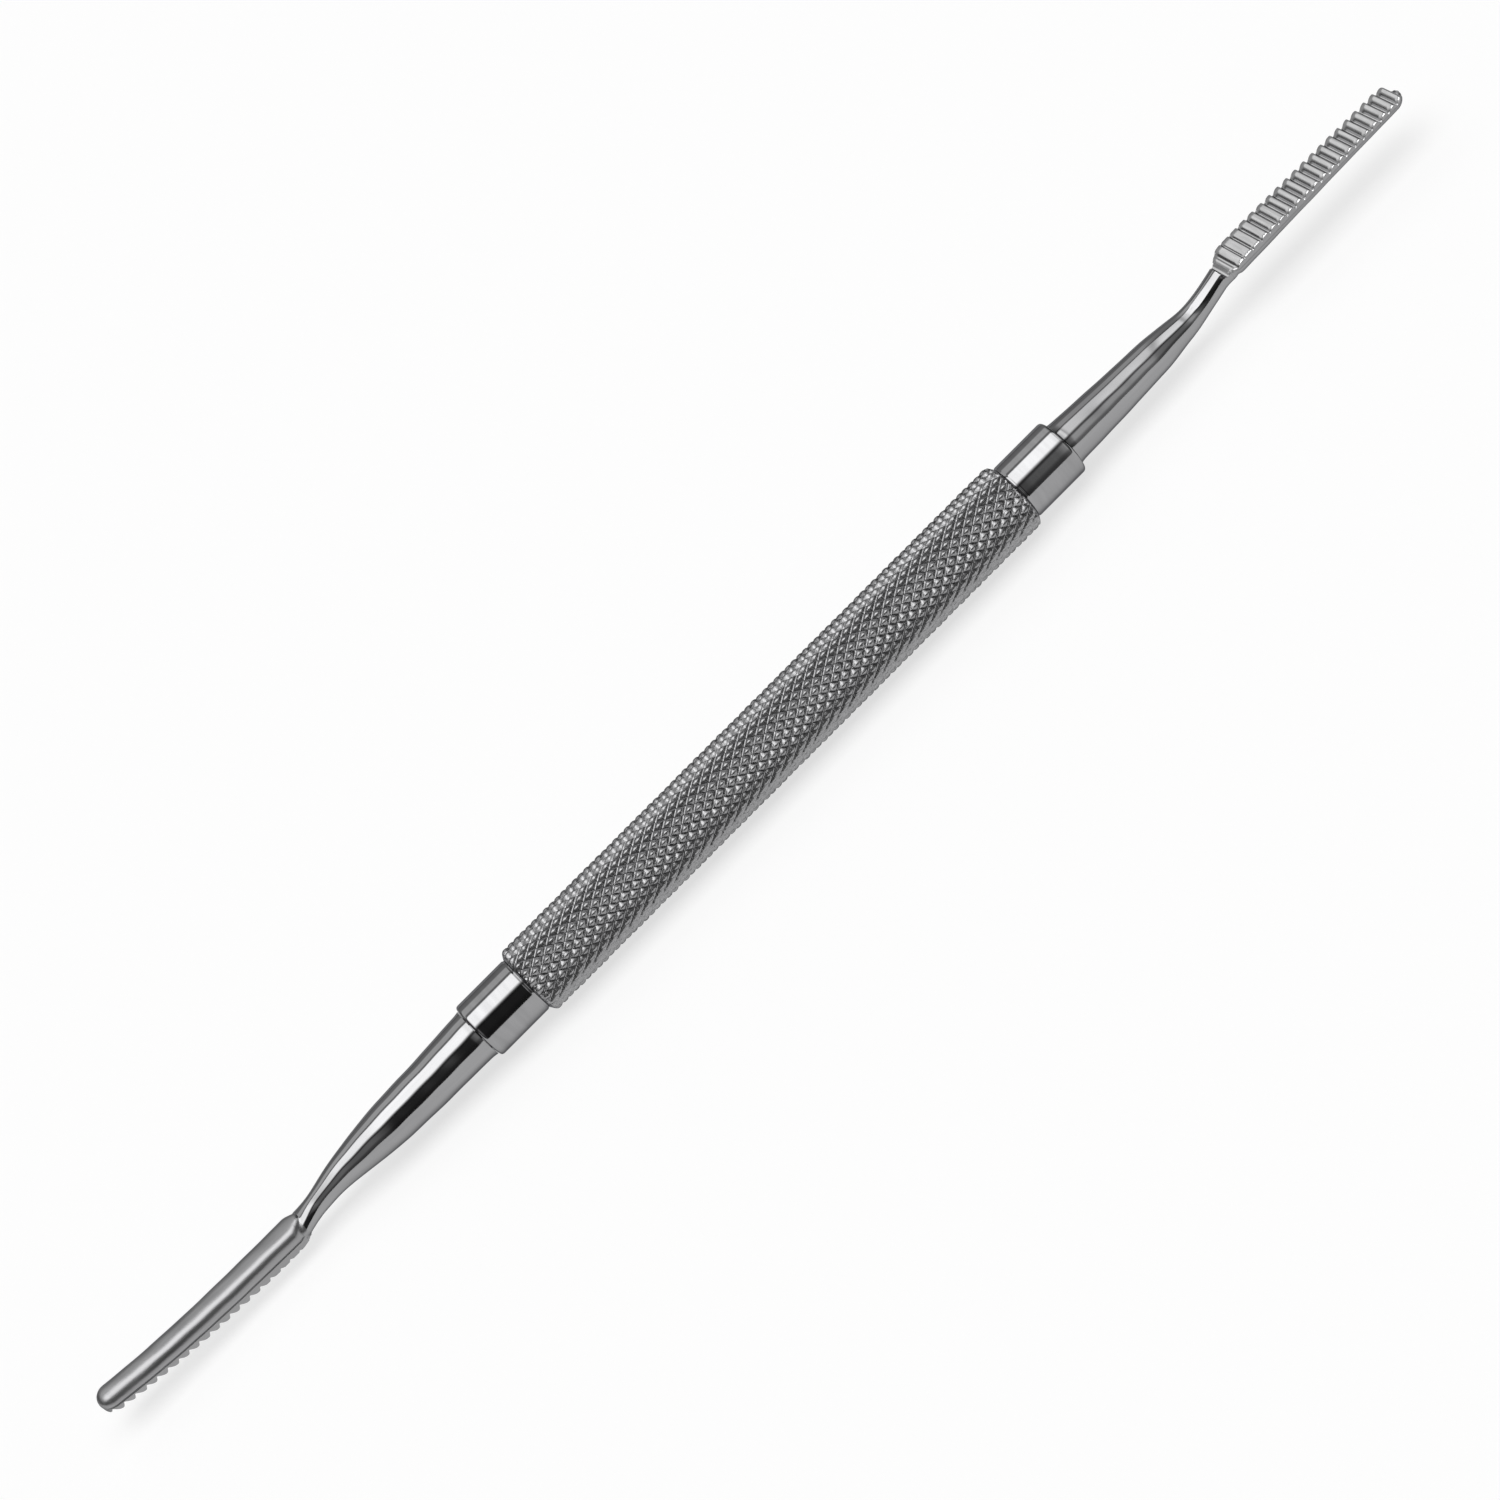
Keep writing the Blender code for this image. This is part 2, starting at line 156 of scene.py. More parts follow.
def soften_grooves(mesh):
    """Unmark the sharp edges that run round the grip or along the second family of grooves, so that
    those shade as worn round and only the grooves that cross them keep sharp edges."""
    ends = np.zeros(2 * len(mesh.edges), np.int32)
    mesh.edges.foreach_get("vertices", ends)
    low, high = ends.reshape(-1, 2).min(axis=1), ends.reshape(-1, 2).max(axis=1)
    places = np.zeros(3 * len(mesh.vertices))
    mesh.vertices.foreach_get("co", places)
    from_middle = np.abs(places[::3][low] / MM - HANDLE_MIDDLE)
    worn_round = (high - low - GRIP_POINTS) % GRIP_POINTS == 1
    sharp = mesh.attributes["sharp_edge"].data
    marked = np.zeros(len(low), bool)
    sharp.foreach_get("value", marked)
    marked &= ~((from_middle < GRIP_LENGTH / 2 - KNURL_MARGIN) & worn_round)
    sharp.foreach_set("value", marked)


# Painted shade: every steel reflects dark grey at grazing angles, which draws a dark line along the
# outline of each piece.
EDGE_SHADE_TINT = (0.28, 0.28, 0.29)
GRAIN_DETAIL = 4
GRAIN_DEPTH = 0.00002
GRAIN_TONES = ((0.3, -0.5), (0.7, 0.25))


def steel(name, colour, roughness, grain_scale, grain_bump, grain_stretch=(1, 1, 1), uneven=0.25):
    """Stainless steel: its reflection is broken by a fine grain, and its shine is a little uneven."""
    made = bpy.data.materials.new(name)
    made.use_nodes = True
    nodes, links = made.node_tree.nodes, made.node_tree.links
    shader = nodes["Principled BSDF"]
    shader.inputs["Metallic"].default_value = 1.0
    # Painted shade: the dark edge tint darkens the steel's reflection along its outlines.
    shader.inputs["Specular Tint"].default_value = (*EDGE_SHADE_TINT, 1)
    place = nodes.new("ShaderNodeTexCoord")
    stretch = nodes.new("ShaderNodeMapping")
    stretch.inputs["Scale"].default_value = grain_stretch
    links.new(place.outputs["Object"], stretch.inputs["Vector"])
    grain = nodes.new("ShaderNodeTexNoise")
    grain.inputs["Scale"].default_value = grain_scale
    grain.inputs["Detail"].default_value = GRAIN_DETAIL
    links.new(stretch.outputs["Vector"], grain.inputs["Vector"])
    tone = nodes.new("ShaderNodeValToRGB")
    for element, (position, change) in zip(tone.color_ramp.elements, GRAIN_TONES):
        element.position = position
        element.color = (*[c * (1 + uneven * change) for c in colour], 1)
    links.new(grain.outputs["Fac"], tone.inputs["Fac"])
    links.new(tone.outputs["Color"], shader.inputs["Base Color"])
    shine = nodes.new("ShaderNodeMapRange")
    shine.inputs["To Min"].default_value = roughness * (1 - uneven)
    shine.inputs["To Max"].default_value = roughness * (1 + uneven)
    links.new(grain.outputs["Fac"], shine.inputs["Value"])
    links.new(shine.outputs["Result"], shader.inputs["Roughness"])
    bump = nodes.new("ShaderNodeBump")
    bump.inputs["Strength"].default_value = grain_bump
    bump.inputs["Distance"].default_value = GRAIN_DEPTH
    links.new(grain.outputs["Fac"], bump.inputs["Height"])
    links.new(bump.outputs["Normal"], shader.inputs["Normal"])
    return made


collar_steel = steel(
    "turned_steel", colour=(0.33, 0.33, 0.335), roughness=0.08,
    grain_scale=900, grain_bump=0.06, grain_stretch=(1, 0.15, 0.15),
)
knurl_steel = steel(
    "knurled_steel", colour=(0.34, 0.34, 0.345), roughness=0.24,
    grain_scale=7000, grain_bump=0.8, uneven=0.6,
)

handle = bpy.data.objects.new("handle", handle_mesh())
bpy.context.scene.collection.objects.link(handle)
handle.data.materials.append(collar_steel)
handle.data.materials.append(knurl_steel)
handle.data.shade_smooth()
handle.data.set_sharp_from_angle(angle=SHARP_KNURL_EDGE)
soften_grooves(handle.data)
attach(handle, "root")
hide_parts("knurled_handle")


# Upper file end: one steel forging, ground and polished. Its tang is fixed in the collar, the shank
# tapers to a bent neck with two ground facets, and straight teeth are filed across the blade.
TANG_RADIUS = 2.0
TANG_LENGTH = 12.0
TANG_BEVEL = 0.3
SEAM = 0.1
SEAM_GAP = 0.001
ROOT_SWELL = 0.1
ROOT_SWELL_LENGTH = 0.9
OFFSET_LENGTH = 8.0
STEM_NOSE = 1.6
FACET_TILT = math.radians(22)
FACET_WIDTH = 0.76
FACET_LENGTH = 5.5
FACET_FADE = 1.2
BLADE_LEDGE = 0.1
BLADE_DROP_CURVE = 0.7
TIP_ROUNDING = 1.5
TIP_SPARE = 0.04
EDGE_BREAK = 0.045
SHARP_FILE_EDGE = math.radians(48)

# Teeth: each gap is filed a little off its mark, shallower near the neck and deeper near the tip. A
# flank runs from the gap's floor up to the crest, as shares of its length and of the gap's depth.
GAP_DEPTH = 0.42
GAP_FLOOR = 0.08
FIRST_GAP_SHARE = 0.38
FIRST_GAPS = 5
LAST_GAP_EXTRA = 0.2
GAP_SCATTER = 0.07
PITCH_SCATTER = 0.035
ENTRY_DROP = 0.2
ENTRY_LENGTH = 5.0
FLANK = ((0.0, 1.0), (0.35, 0.5), (0.6, 0.22), (0.8, 0.07), (1.0, 0.0))
FILED_FROM = -0.97
UNFILED = 9.0
PROFILE_STEP = 0.01
PROFILE_SOFTENING = 21

# Hand grinding leaves the surface waved by a few micrometres, as (length, lobes round it, shift).
WAVES = ((5.3, 1, 0.5), (7.9, 2, 2.1), (3.7, 3, 4.0))
WAVE_HEIGHT = 0.006
WAVE_FADE = 0.6

# Where the rings lie along the end, and how their points are shared out round it: the filed top, its
# broken edge, the side strip, the ledge and half of the back.
STEP_LEAD = 1.0
ROOT_STATIONS = (0.0, 0.01, 0.025)
SHANK_START, SHANK_STEP = 0.15, 0.22
STEP_STATION = 0.045
SHOULDER_STATIONS = np.linspace(0.01, 1, 26) ** 2
TOOTH_STATIONS = 24
TIP_STATIONS = np.linspace(0.03, 1, 32) ** 2
TEETH_END = 0.1
CLOSEST_STATIONS = 0.006
TOP_POINTS, EDGE_POINTS, SIDE_POINTS, LEDGE_POINTS, BACK_POINTS = 7, 2, 12, 2, 20
BACK_CURVE_POINTS = 80
SIDE_ANGLE = 1.55
STEM_CREASES = (1.75, 1.85)
TRY_ANGLES = np.linspace(0.0, math.pi * 0.6, 600)
FLAT_WITHIN = 0.00002
LEAST_CORNER, CORNER_BREAK = 0.1, 0.03
LEAST_FACET = 0.14
BLADE_SHARE = 0.98
HUB_COVER, BLADE_HUB_COVER = 0.12, 0.3
SMALL, TINY = 1e-4, 1e-6
STEEPEST_FACET = 1e-3
POLISHED, CUT, SATIN = 0, 1, 2
CUT_FROM, SATIN_FROM = -0.9, 0.1

# Sizes of one end, along it from the collar's face. Pairs and triples run from the blade's start to its
# tip; widths are across, strips the height of the side, crowns the height of the back and powers its
# fullness. A step mark is a place past the blade's start and a share of the step's depth.
upper = {
    "length": 48.3,
    "root": 4.96,
    "taper": 0.085,
    "offset": -0.12,
    "waist_start": 12.2,
    "neck_start": 21.0,
    "neck": 2.42,
    "bend_start": 16.6,
    "bend_length": 10.5,
    "bend_rise": 2.02,
    "flare": 2.8,
    "fillet": 0.2,
    "blade_length": 24.9,
    "face": 2.48,
    "face_drop": 0.1,
    "widths": (4.15, 3.5),
    "strips": (0.73, 0.4),
    "crowns": (1.34, 1.1, 0.96),
    "powers": (2.35, 2.35),
    "shoulder_lead": 0.0,
    "shoulder_rounding": 1.5,
    "blunt_share": 0.78,
    "blunt_length": 1.0,
    "step_depth": 0.8,
    "step": (
        (-1.0, -1.2), (-0.85, 0.1), (-0.62, 0.85), (-0.45, 0.96), (-0.3, 0.93), (0.1, 0.6),
        (0.3, 0.45), (0.42, 0.43), (0.64, 0.5), (0.74, 0.45), (0.95, 0.22), (1.15, 0.1),
    ),
    "first_gap": 1.79,
    "pitch": 1.198,
    "flank_before": 0.55,
    "flank_after": 1.45,
    "last_gap": 1.5,
    "filing_seed": 5,
}


def eased(share):
    share = np.clip(share, 0, 1)
    return share * share * (3 - 2 * share)


def rounded_end(share):
    share = np.clip(share, 0, 1)
    return np.sqrt(1 - (1 - share) ** 2)


def between(pair, along):
    return pair[0] * (1 - along) + pair[1] * along


def blade_start(end):
    return end["length"] - end["blade_length"]


def face_height(end, x):
    """Height of the blade's flat face over the handle's axis."""
    along = (x - blade_start(end)) / end["blade_length"]
    curve = (1 - BLADE_DROP_CURVE) * along + BLADE_DROP_CURVE * np.clip(along, 0, None) ** 3
    return end["face"] - end["face_drop"] * curve


def crest_height(end, x):
    """Height of the teeth's crests, which start a little under the face."""
    entry = np.clip(1 - (x - blade_start(end)) / ENTRY_LENGTH, 0, None)
    return face_height(end, x) - ENTRY_DROP * entry


def filed_height(end, xs):
    """Height of the filed side: the step after the neck, and then gap after gap between the teeth."""
    start = blade_start(end)
    marks = [(start + way, end["step_depth"] * sunk) for way, sunk in end["step"]]
    drawn = np.random.RandomState(end["filing_seed"])
    last = math.ceil((end["blade_length"] - end["first_gap"]) / end["pitch"])
    for gap in range(last + 1):
        share = FIRST_GAP_SHARE + (1 - FIRST_GAP_SHARE) * min(1.0, gap / FIRST_GAPS)
        share = share + LAST_GAP_EXTRA * gap / last
        if gap == last - 1:
            share = share * end["last_gap"]
        depth = GAP_DEPTH * share * (1 + GAP_SCATTER * drawn.uniform(-1, 1))
        middle = start + end["first_gap"] + gap * end["pitch"] + PITCH_SCATTER * drawn.uniform(-1, 1)
        before, after = depth * end["flank_before"], depth * end["flank_after"]
        marks += [(middle - GAP_FLOOR / 2 - before * run, depth * sunk) for run, sunk in FLANK[::-1]]
        marks += [(middle + GAP_FLOOR / 2 + after * run, depth * sunk) for run, sunk in FLANK]
    grid = np.arange(start - STEP_LEAD, end["length"] + 1, PROFILE_STEP)
    sunk = np.interp(grid, [x for x, depth in marks], [depth for x, depth in marks])
    soft = np.hanning(PROFILE_SOFTENING)
    padded = np.pad(sunk, PROFILE_SOFTENING // 2, mode="edge")
    sunk = np.convolve(padded, soft / soft.sum(), mode="valid")
    filed = crest_height(end, xs) - np.interp(xs, grid, sunk)
    return np.where(xs < start + FILED_FROM, UNFILED, filed)


def stem_oval(end, x):
    """Half width, half height and middle height of the shank and neck at x."""
    tapered = end["root"] - end["taper"] * x
    drawn = eased((x - end["waist_start"]) / (end["neck_start"] - end["waist_start"]))
    swell = ROOT_SWELL * np.clip(1 - x / ROOT_SWELL_LENGTH, 0, None) ** 2
    radius = (tapered + (end["neck"] - tapered) * drawn) / 2 + swell
    risen = end["bend_rise"] * eased((x - end["bend_start"]) / end["bend_length"])
    middle = end["offset"] * eased(x / OFFSET_LENGTH) + risen
    nose_end = blade_start(end) + STEM_NOSE
    flare = eased((x - nose_end + end["flare"]) / end["flare"])
    nose = rounded_end((nose_end - x) / STEM_NOSE)
    half_width = radius + (end["widths"][0] / 2 - radius) * flare
    return half_width * nose, radius * nose, middle


def blade_sizes(end, x):
    """The blade at x: half width, height of its strip's lower edge, ledge, crown's height and power."""
    along = (x - blade_start(end)) / end["blade_length"]
    begun = x - blade_start(end) + end["shoulder_lead"]
    tip = rounded_end((end["length"] - TIP_SPARE - x) / TIP_ROUNDING)
    rounding = rounded_end(begun / end["shoulder_rounding"]) * tip
    blunt = end["blunt_share"] + (1 - end["blunt_share"]) * eased(begun / end["blunt_length"])
    half = between(end["widths"], along) / 2 * blunt * tip
    edge = face_height(end, x) - between(end["strips"], along)
    first, middle, last = end["crowns"]
    crown = between((first, last), along) + (middle - (first + last) / 2) * 4 * along * (1 - along)
    return half, edge, BLADE_LEDGE * rounding, crown * rounding, between(end["powers"], along)


def oval_reach(angle, half_width, half_height, above):
    """Distance from the hub out to an oval whose middle lies above the hub."""
    a = (np.sin(angle) / half_width) ** 2 + (np.cos(angle) / half_height) ** 2
    b = above * np.cos(angle) / half_height**2
    inside = b * b - a * ((above / half_height) ** 2 - 1)
    return np.maximum(b + np.sqrt(np.maximum(inside, 0)), 0) / a


def blade_reach(angle, half, edge, ledge, crown, power):
    """Distance from the hub out to the blade: its side strip, the ledge and the crowned back."""
    turn = np.linspace(0, math.pi / 2, BACK_CURVE_POINTS)
    across = np.append(half, (half - ledge) * np.cos(turn) ** (2 / power))
    height = np.append(edge, edge - ledge - crown * np.sin(turn) ** (2 / power))
    back = np.interp(angle, np.arctan2(across, height), np.hypot(across, height))
    side = half / np.maximum(np.sin(angle), TINY)
    return np.where(angle < math.atan2(half, edge), side, back)


def end_stations(end):
    """Places of the rings along the end, close together where its outline turns quickly."""
    start, tip = blade_start(end), end["length"] - TIP_SPARE
    rounding = end["shoulder_rounding"]
    stations = np.unique(np.concatenate([
        SEAM + np.array(ROOT_STATIONS),
        np.arange(SHANK_START, start - STEP_LEAD, SHANK_STEP),
        np.arange(start - STEP_LEAD, start + rounding, STEP_STATION),
        start - end["shoulder_lead"] + rounding * SHOULDER_STATIONS,
        np.arange(start + rounding, tip - TEETH_END, end["pitch"] / TOOTH_STATIONS),
        tip - TIP_ROUNDING * TIP_STATIONS,
    ]))
    return stations[np.concatenate([[True], np.diff(stations) > CLOSEST_STATIONS])]


def end_ring(end, x, filed):
    """One ring round the end at x, from the top over the right side to the bottom and back."""
    half_width, half_height, middle = stem_oval(end, x)
    half, edge, ledge, crown, power = blade_sizes(end, x)
    fillet = end["fillet"]
    in_stem = half_height > SMALL
    in_blade = x > blade_start(end) - end["shoulder_lead"] and half > SMALL
    low = min([middle - half_height] * in_stem + [edge - ledge - crown] * in_blade)
    high = min(filed, face_height(end, x) - BLADE_HUB_COVER if in_blade else middle + half_height)
    hub = min((low + high) / 2, filed - HUB_COVER)

    ground = eased((x - blade_start(end) + FACET_LENGTH) / FACET_FADE)
    wide, tall = max(half_width * math.sin(FACET_TILT), TINY), half_height * math.cos(FACET_TILT)
    facet = math.sqrt(max(0.0, wide**2 + tall**2 - ground * (FACET_WIDTH / 2) ** 2))
    facet += (middle - hub) * math.cos(FACET_TILT)
    crests = min(filed, crest_height(end, x)) - hub

    def reach(angle):
        """Distance from the hub out to the surface: the stem with its facet, then the blade over it
        with a fillet between them, cut off by the file and with its upper edge broken."""
        out = np.zeros_like(angle)
        upward = np.maximum(np.cos(angle), TINY)
        if in_stem:
            out = oval_reach(angle, half_width, half_height, middle - hub)
            if ground > 0:
                out = np.minimum(out, facet / np.maximum(np.cos(angle - FACET_TILT), STEEPEST_FACET))
        if in_blade:
            blade = blade_reach(angle, half, edge - hub, ledge, crown, power)
            blade = np.where(angle < SIDE_ANGLE, np.minimum(blade, crests / upward), blade)
            near = np.clip(fillet - np.abs(out - blade), 0, None)
            out = np.maximum(out, blade) + near**2 / fillet / 4 * np.sin(angle) ** 2
        out = np.where(angle < SIDE_ANGLE, np.minimum(out, (filed - hub) / upward), out)
        if in_blade:
            broken = (half + filed - hub - EDGE_BREAK) / (np.sin(angle) + upward)
            out = np.where(angle < SIDE_ANGLE, np.minimum(out, broken), out)
        return out

    flat = np.abs(reach(TRY_ANGLES) * np.cos(TRY_ANGLES) - (filed - hub)) < FLAT_WITHIN
    if flat.any():
        corner = max(TRY_ANGLES[flat].max(), LEAST_CORNER)
        under = corner + CORNER_BREAK
    else:
        facet_angle = math.asin(min(1.0, FACET_WIDTH / 2 / half_height))
        spread = max(LEAST_FACET, facet_angle * math.sqrt(ground))
        corner, under = FACET_TILT - spread, FACET_TILT + spread
    crease, inner = STEM_CREASES
    if in_blade and half > half_width * BLADE_SHARE:
        if flat.any():
            under = math.atan2(half, filed - hub - EDGE_BREAK)
        crease, inner = math.atan2(half, edge - hub), math.atan2(half - ledge, edge - ledge - hub)

    angles = [corner * np.linspace(0, 1, TOP_POINTS)]
    for near, far, points in (
        (corner, under, EDGE_POINTS),
        (under, crease, SIDE_POINTS),
        (crease, inner, LEDGE_POINTS),
        (inner, math.pi, BACK_POINTS),
    ):
        angles.append(near + (far - near) * np.linspace(0, 1, points + 1)[1:])
    angle = np.concatenate(angles)
    angle = np.concatenate([angle, -angle[-2:0:-1]])
    out = reach(np.abs(angle))
    past_corner = np.abs(angle) - corner
    for length, lobes, shift in WAVES:
        wave = WAVE_HEIGHT * np.sin(2 * np.pi * x / length + lobes * angle + shift)
        out = out + np.where(np.abs(angle) > corner, wave * eased(past_corner / WAVE_FADE), 0)
    return np.column_stack([np.full(len(angle), x), out * np.sin(angle), hub + out * np.cos(angle)])


def end_mesh(name, end):
    """The whole end as rings: the round tang first, and then shank, neck and blade."""
    xs = end_stations(end)
    rings = [end_ring(end, x, filed) for x, filed in zip(xs, filed_height(end, xs))]
    count = len(rings[0])
    spin = np.arctan2(rings[0][:, 1], rings[0][:, 2])
    tang = []
    for x, radius in (
        (-TANG_LENGTH, TANG_RADIUS - TANG_BEVEL),
        (TANG_BEVEL - TANG_LENGTH, TANG_RADIUS),
        (SEAM - SEAM_GAP, TANG_RADIUS),
    ):
        tang.append(np.column_stack([np.full(count, x), radius * np.sin(spin), radius * np.cos(spin)]))
    rings = tang + rings
    faces, grades = [], []
    for i in range(len(rings) - 1):
        past_start = rings[i][0, 0] - blade_start(end)
        for j in range(count):
            a, b = i * count + j, i * count + (j + 1) % count
            faces.append((a, a + count, b + count, b))
            on_top = j < TOP_POINTS or j >= count - TOP_POINTS
            side = SATIN if past_start > SATIN_FROM else POLISHED
            grades.append(CUT if on_top and past_start > CUT_FROM else side)
    last = (len(rings) - 1) * count
    faces += [tuple(range(count)), tuple(range(last, last + count))[::-1]]
    grades += [POLISHED, POLISHED]
    mesh = bpy.data.meshes.new(name)
    mesh.from_pydata((np.concatenate(rings) * MM).tolist(), [], faces)
    mesh.polygons.foreach_set("material_index", np.array(grades, np.int32))
    mesh.validate()
    return mesh


polished = steel(
    "polished_steel", colour=(0.33, 0.33, 0.335), roughness=0.09,
    grain_scale=700, grain_bump=0.06, grain_stretch=(0.05, 1, 1),
)
# Painted light: the filed teeth get about twice the colour of the polished and satin steel, though all
# are one metal, so the teeth render lighter.
lit_teeth_steel = steel(
    "cut_teeth_steel", colour=(0.68, 0.68, 0.685), roughness=0.16,
    grain_scale=3000, grain_bump=0.12, grain_stretch=(1, 0.2, 1),
)
satin = steel(
    "satin_steel", colour=(0.34, 0.34, 0.345), roughness=0.36,
    grain_scale=2500, grain_bump=0.4, grain_stretch=(0.02, 1, 1),
)


def place_end(name, end, node, turn):
    """Make an end, turn it half way round when it points the other way, and seat it in its collar."""
    made = bpy.data.objects.new(name, end_mesh(name, end))
    bpy.context.scene.collection.objects.link(made)
    made.data.transform(Matrix.Rotation(turn, 4, "Y"))
    seat = (HANDLE_MIDDLE + math.cos(turn) * collar_face) * MM
    made.data.transform(Matrix.Translation((seat, 0, 0)))
    made.data.materials.append(polished)
    made.data.materials.append(lit_teeth_steel)
    made.data.materials.append(satin)
    made.data.shade_smooth()
    made.data.set_sharp_from_angle(angle=SHARP_FILE_EDGE)
    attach(made, "root")
    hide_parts(node)


place_end("upper_file", upper, "upper_file_end", 0.0)


# Lower file end: the same kind of forging with a stouter shank, turned end for end, so that its teeth
# face the other way. Its blade is narrower with taller sides and falls back towards the handle's line.
lower = {
    "length": 50.9,
    "root": 5.52,
    "taper": 0.062,
    "offset": 0.2,
    "waist_start": 11.3,
    "neck_start": 25.5,
    "neck": 2.2,
    "bend_start": 17.8,
    "bend_length": 11.0,
    "bend_rise": 1.45,
    "flare": 4.0,
    "fillet": 0.3,
    "blade_length": 26.0,
    "face": 2.42,
    "face_drop": 2.3,
    "widths": (3.5, 3.1),
    "strips": (0.95, 0.62),
    "crowns": (1.45, 1.4, 1.2),
    "powers": (2.8, 2.1),
    "shoulder_lead": 0.7,
    "shoulder_rounding": 1.1,
    "blunt_share": 0.35,
    "blunt_length": 2.2,
    "step_depth": 0.42,
    "step": ((-1.0, -1.8), (0.1, -1.5), (0.8, -0.1), (1.0, 0.08), (1.3, 0.15)),
    "first_gap": 2.08,
    "pitch": 1.284,
    "flank_before": 1.5,
    "flank_after": 0.75,
    "last_gap": 1.0,
    "filing_seed": 8,
}
place_end("lower_file", lower, "lower_file_end", math.pi)


# Floor: a plain matt white studio sheet that the instrument lies on. It looks white to the camera and
# in reflections by its own colour and glow, and keeps the instrument's soft shadow.
FLOOR_REACH = 20
FLOOR_GAP = 0.00001
PAPER_GREY = 0.36
PAPER_GLOW = 0.67


def arithmetic(tree, operation, first, second):
    """One step of arithmetic between two outputs, or an output and a number."""
    made = tree.nodes.new("ShaderNodeMath")
    made.operation = operation
    for place, value in enumerate((first, second)):
        if isinstance(value, (int, float)):
            made.inputs[place].default_value = value
        else:
            tree.links.new(value, made.inputs[place])
    return made.outputs[0]


floor_z = -GRIP_RADIUS * math.cos(math.pi / GROOVES) * MM - FLOOR_GAP
floor_mesh = bpy.data.meshes.new("floor")
corners = [(x * FLOOR_REACH, y * FLOOR_REACH, floor_z) for x, y in ((-1, -1), (1, -1), (1, 1), (-1, 1))]
floor_mesh.from_pydata(corners, [], [(0, 1, 2, 3)])
floor = bpy.data.objects.new("floor", floor_mesh)
bpy.context.scene.collection.objects.link(floor)

white_sheet = bpy.data.materials.new("white_sheet")
white_sheet.use_nodes = True
tree = white_sheet.node_tree
tree.nodes.clear()
paper = tree.nodes.new("ShaderNodeBsdfDiffuse")
paper.inputs["Color"].default_value = (PAPER_GREY, PAPER_GREY, PAPER_GREY, 1)
glow = tree.nodes.new("ShaderNodeEmission")
glow.inputs["Color"].default_value = (PAPER_GLOW, PAPER_GLOW, PAPER_GLOW, 1)
rays = tree.nodes.new("ShaderNodeLightPath")
seen = arithmetic(tree, "MAXIMUM", rays.outputs["Is Camera Ray"], rays.outputs["Is Glossy Ray"])
seen = arithmetic(tree, "MAXIMUM", seen, rays.outputs["Is Transmission Ray"])
tree.links.new(seen, glow.inputs["Strength"])
both = tree.nodes.new("ShaderNodeAddShader")
tree.links.new(paper.outputs[0], both.inputs[0])
tree.links.new(glow.outputs[0], both.inputs[1])
sheet_surface = tree.nodes.new("ShaderNodeOutputMaterial")
tree.links.new(both.outputs[0], sheet_surface.inputs["Surface"])
floor_mesh.materials.append(white_sheet)


# Studio: a long softbox over the instrument, a paler sheet behind it and a dark room in front, with
# a small white card to the right and another to the left. Nothing in it is seen but by reflection.
SOFTBOX = 3.5
SHEET = 1.1
CARDS = 1.05
BACK_WALL = 0.44
ROOM = 0.02

world = bpy.data.worlds.new("studio")
bpy.context.scene.world = world
world.use_nodes = True
studio = world.node_tree
studio.nodes.clear()
way = studio.nodes.new("ShaderNodeTexCoord")
parts = studio.nodes.new("ShaderNodeSeparateXYZ")
studio.links.new(way.outputs["Generated"], parts.inputs[0])
front = arithmetic(studio, "MULTIPLY", parts.outputs["Y"], -1)
climb = arithmetic(studio, "ARCTAN2", parts.outputs["Z"], front)
climb = arithmetic(studio, "MULTIPLY", climb, 180 / math.pi)
climb_share = arithmetic(studio, "DIVIDE", arithmetic(studio, "ADD", climb, 180), 360)
side_share = arithmetic(studio, "MULTIPLY", arithmetic(studio, "ADD", parts.outputs["X"], 1), 0.5)


def ramp(source, stops):
    """A brightness that runs through the stops, each a place from 0 to 1 and a share of full."""
    made = studio.nodes.new("ShaderNodeValToRGB")
    line = made.color_ramp
    studio.links.new(source, made.inputs["Fac"])
    for place, share in stops[1:-1]:
        line.elements.new(place)
    for element, (place, share) in zip(line.elements, stops):
        element.position = place
        element.color = (share, share, share, 1)
    return made.outputs["Color"]


def panel(strength, climbs, sides):
    """A lit surface: climbs gives its brightness from the front horizon over the top to the back one,
    and sides gives it from left to right, both as pairs of an angle in degrees and a share."""
    over = ramp(climb_share, [((angle + 180) / 360, share) for angle, share in climbs])
    across = [((math.sin(math.radians(angle)) + 1) / 2, share) for angle, share in sides]
    lit = arithmetic(studio, "MULTIPLY", over, ramp(side_share, across))
    return arithmetic(studio, "MULTIPLY", lit, strength)


softbox = panel(
    SOFTBOX,
    ((-180, 0), (54, 0), (58, 0.12), (66, 1), (106.5, 1), (108.5, 0), (180, 0)),
    ((-90, 0), (-48, 0.2), (-38, 0.35), (-33, 0.5), (-28, 0.9), (-20, 0.85), (-12, 1), (10.5, 1),
     (13, 0.68), (17, 0.56), (19, 0.38), (21, 0.35), (24, 0.7), (28, 0.7), (34, 0.42), (44, 0.25),
     (90, 0)),
)
sheet = panel(
    SHEET,
    ((-180, 0), (107, 0), (108, 0.34), (116, 0.34), (118.5, 1), (143, 1), (147, 0), (180, 0)),
    ((-90, 0), (-52, 0.1), (-42, 0.5), (-34, 1), (10, 1), (16, 0.8), (19, 0.58), (23, 0.38),
     (30, 0.18), (48, 0.08), (90, 0)),
)
back_wall = panel(
    BACK_WALL,
    ((-180, 1), (-150, 0), (143, 0), (147, 1), (180, 1)),
    ((-90, 0.05), (-34, 0.15), (-26, 1), (26, 1), (34, 0.15), (90, 0.05)),
)
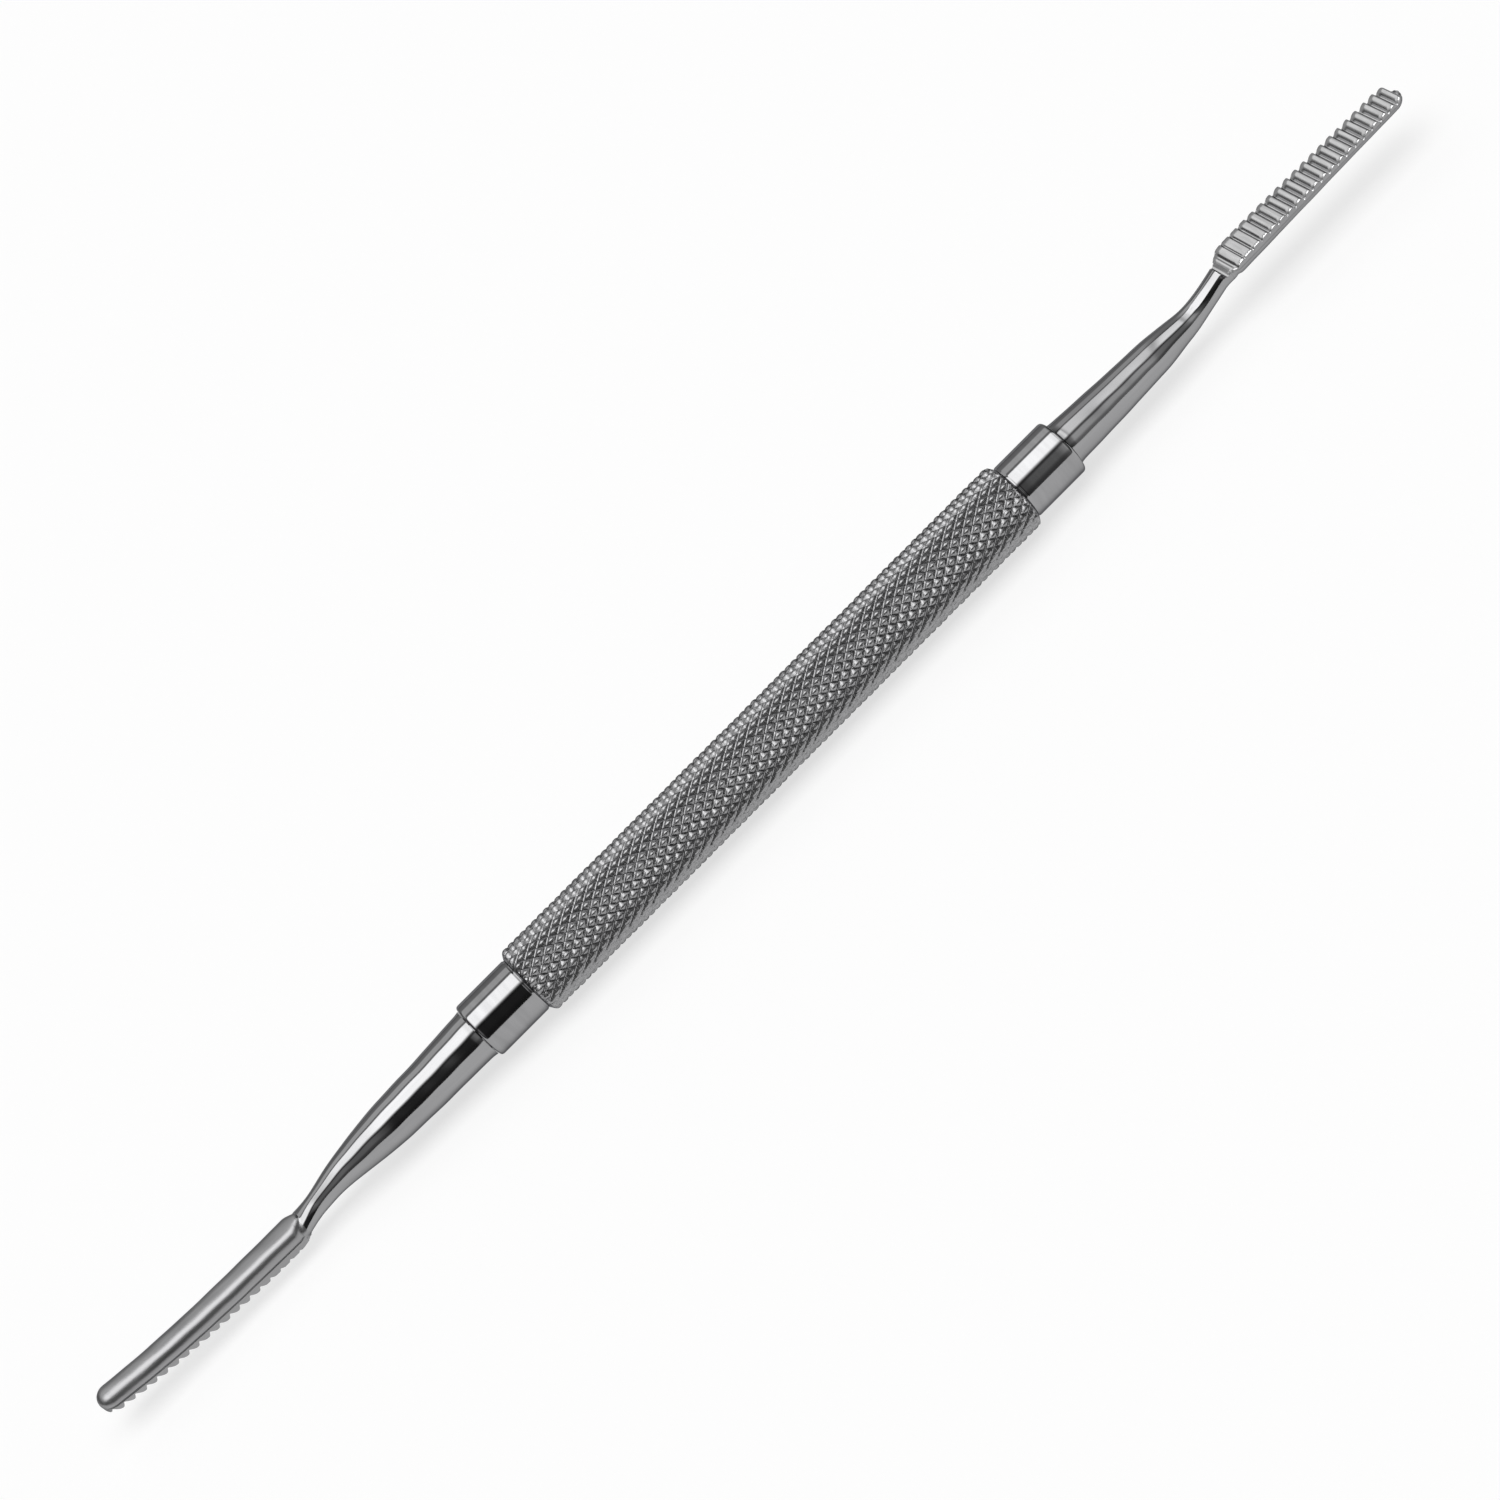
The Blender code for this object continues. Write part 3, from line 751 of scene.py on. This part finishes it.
cards = panel(
    CARDS,
    ((-180, 0), (-30, 0), (-10, 0.35), (10, 0.33), (16, 0.5), (24, 0.95), (45, 1), (50, 0.35),
     (54, 0.12), (60, 0.1), (66, 0), (180, 0)),
    ((-90, 0.1), (-32, 0.2), (-25, 0.4), (-20, 0.3), (-12, 0.15), (-10, 0.04), (-8, 0.02), (2, 0.02),
     (5, 0.1), (9, 0.22), (10.5, 0.28), (12, 0.85), (17, 0.95), (20, 0.5), (25, 0.35), (32, 0.2),
     (90, 0.1)),
)
light = arithmetic(studio, "ADD", softbox, sheet)
light = arithmetic(studio, "ADD", light, arithmetic(studio, "ADD", back_wall, cards))
light = arithmetic(studio, "ADD", light, ROOM)
surroundings = studio.nodes.new("ShaderNodeBackground")
studio.links.new(light, surroundings.inputs["Strength"])
studio_surface = studio.nodes.new("ShaderNodeOutputWorld")
studio.links.new(surroundings.outputs[0], studio_surface.inputs["Surface"])


# Camera: a long lens looking down at the instrument from the front, which lies from lower left to
# upper right in the frame with its upper end a little farther away.
SENSOR = 36
LENS = 86.4
NEAREST = 0.01
PIXEL = 0.09746 * MM
DISTANCE = 3600
ASIDE, ALOFT = -205.8, 6.9
FORWARD = math.radians(49)
LEAN = math.atan(0.054)
ROLL = math.radians(45.07)

scene = bpy.context.scene
camera = bpy.data.cameras.new("camera")
camera.sensor_width = SENSOR
camera.lens = LENS
camera.clip_start = NEAREST
viewer = bpy.data.objects.new("camera", camera)
scene.collection.objects.link(viewer)
scene.camera = viewer
length = Vector((1, 0, 0))
towards = Vector((0, -math.sin(FORWARD), math.cos(FORWARD)))
upwards = Vector((0, math.cos(FORWARD), math.sin(FORWARD)))
along = math.cos(LEAN) * length + math.sin(LEAN) * towards
ahead = math.sin(LEAN) * length - math.cos(LEAN) * towards
right = math.cos(ROLL) * along - math.sin(ROLL) * upwards
up = math.sin(ROLL) * along + math.cos(ROLL) * upwards
spot = (ASIDE * length + DISTANCE * math.cos(LEAN) * towards + ALOFT * upwards) * PIXEL
viewer.matrix_world = Matrix.Translation(spot) @ Matrix((right, up, -ahead)).transposed().to_4x4()
scene.view_settings.view_transform = "Standard"
